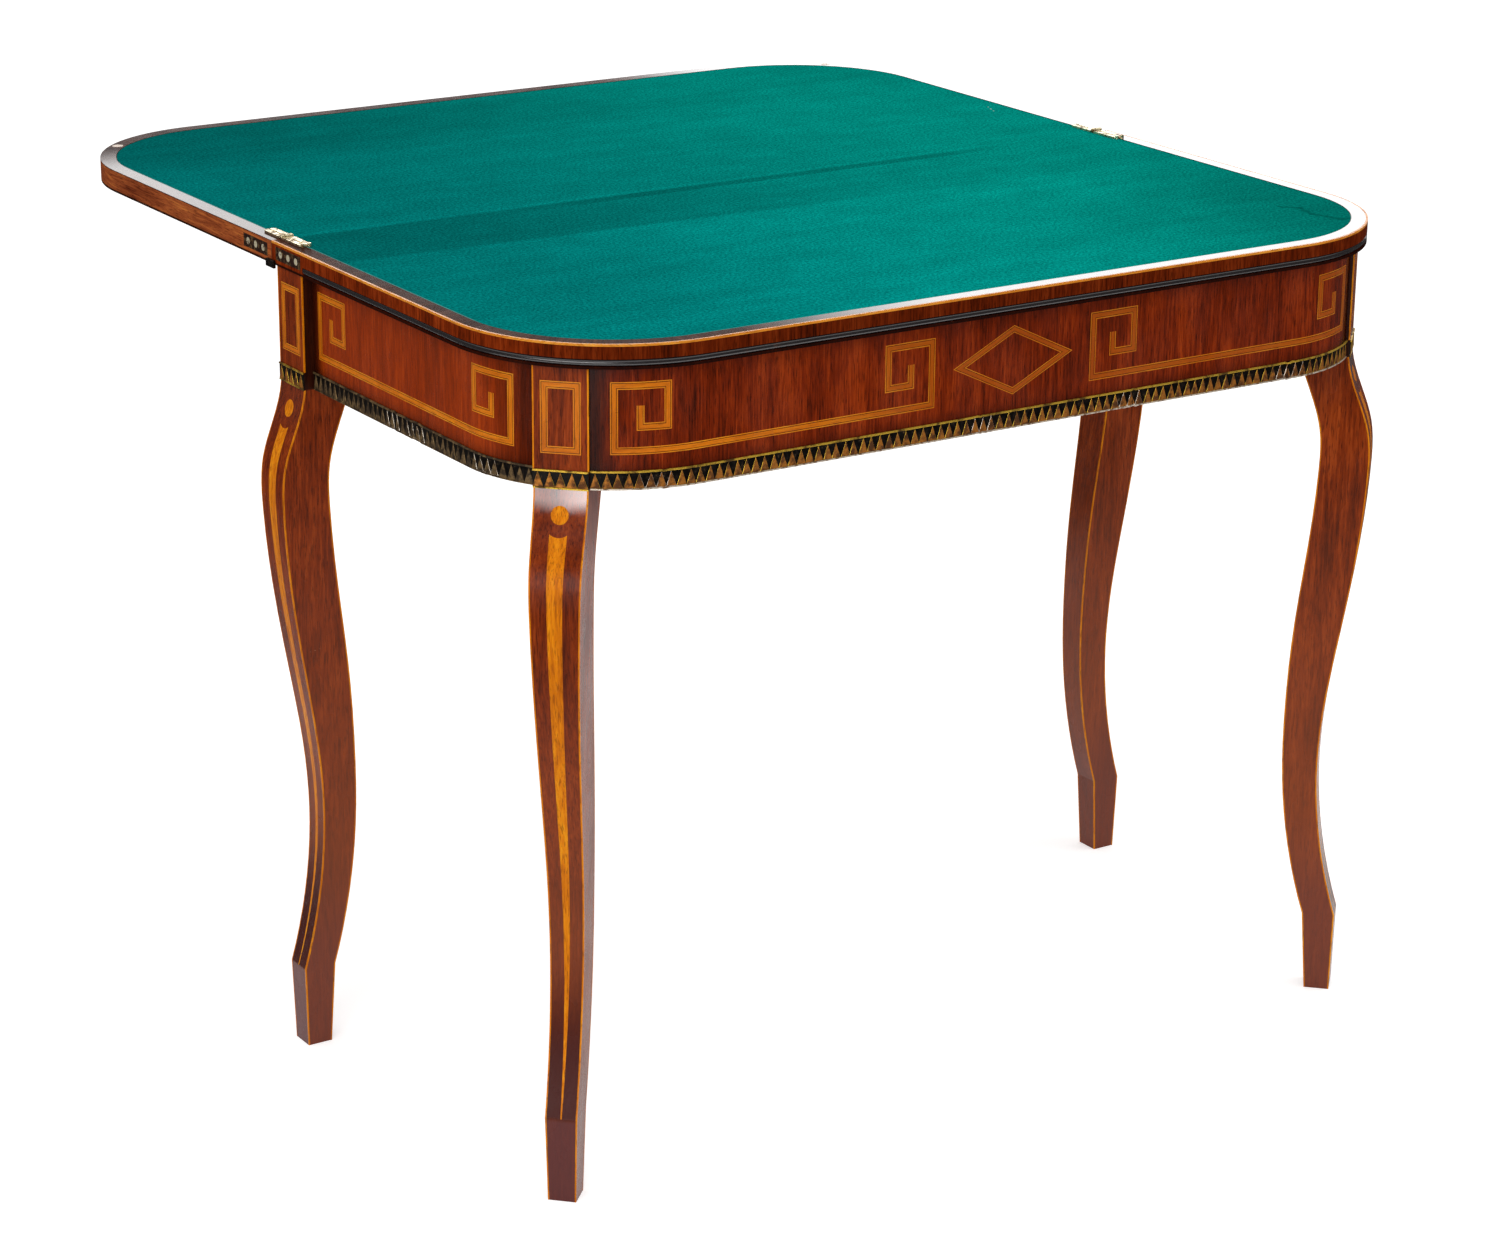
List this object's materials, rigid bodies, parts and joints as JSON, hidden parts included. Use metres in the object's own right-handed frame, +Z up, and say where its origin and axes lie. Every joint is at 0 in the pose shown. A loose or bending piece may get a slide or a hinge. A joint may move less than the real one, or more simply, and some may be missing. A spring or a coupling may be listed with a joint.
{
  "type": "flip-top card table",
  "caption": "Card table on curved legs with a baize-lined top that unfolds to twice its depth, inlaid friezes, a patterned brass band and a swinging rear leg.",
  "frame": {"origin": "on the floor, under the middle of the fold line of the opened top", "axes": "+Z up; X along the fold line; the front of the table faces -Y and the opened leaf reaches to +Y"},
  "size_m": [0.9732, 0.97, 0.7639],
  "materials": {
    "leg_wood": "satin polish",
    "frieze_veneer": "glossy polished veneer",
    "leaf_wood": "glossy polished veneer",
    "carcase_wood": "planed, unfinished",
    "stringing_wood": "polished",
    "black_wood": "black polish",
    "inlay_wood": "polished",
    "baize": "napped cloth",
    "band_brass": "pressed, worn gilt on a dark ground",
    "hinge_brass": "aged, dull",
    "dark_iron": "dull, dark",
    "plug_wood": "polished"
  },
  "bodies": {
    "frame": {"front_left_leg": "leg_wood", "front_right_leg": "leg_wood", "rear_right_leg": "leg_wood", "front_rail": "frieze_veneer", "left_rail": "frieze_veneer", "right_rail": "frieze_veneer", "inner_back_rail": "carcase_wood", "outer_back_rail": "carcase_wood", "middle_bearer": "carcase_wood", "corner_blocks": "carcase_wood", "glue_blocks": "carcase_wood", "fixed_leaf": "leaf_wood", "fixed_leaf_stringing": "stringing_wood", "leaf_bead": "black_wood", "fixed_leaf_baize": "baize", "front_rail_inlay": "inlay_wood", "left_rail_inlay": "inlay_wood", "right_rail_inlay": "inlay_wood", "stile_inlays": "inlay_wood", "leg_inlays": "inlay_wood", "front_band": "band_brass", "left_band": "band_brass", "right_band": "band_brass", "stile_bands": "band_brass", "left_fixed_strap": "hinge_brass", "right_fixed_strap": "hinge_brass", "left_fixed_edge_plate": "hinge_brass", "right_fixed_edge_plate": "hinge_brass", "left_hinge_pin": "hinge_brass", "right_hinge_pin": "hinge_brass", "fixed_plate_screws": "hinge_brass", "fixed_stop_lugs": "dark_iron", "gate_pin": "dark_iron", "bearer_screws": "dark_iron"},
    "fly_leaf": {"fly_leaf": "leaf_wood", "fly_leaf_baize": "baize", "left_fly_strap": "hinge_brass", "right_fly_strap": "hinge_brass", "left_fly_edge_plate": "hinge_brass", "right_fly_edge_plate": "hinge_brass", "fly_plate_screws": "hinge_brass", "fly_stop_lugs": "dark_iron", "rim_plugs": "plug_wood"},
    "gate": {"rear_left_leg": "leg_wood", "fly_rail": "carcase_wood", "gate_stile_inlay": "inlay_wood", "gate_leg_inlay": "inlay_wood", "gate_stile_band": "band_brass"}
  },
  "joints": [
    {"name": "leaf_hinge", "type": "hinge", "parent": "frame", "child": "fly_leaf", "pos_m": [0, 0, 0.762], "axis": [1, 0, 0], "range_deg": [0, 180]},
    {"name": "gate_hinge", "type": "hinge", "parent": "frame", "child": "gate", "pos_m": [-0.015, -0.044, 0.687], "axis": [0, 0, -1], "range_deg": [0, 90]}
  ]
}
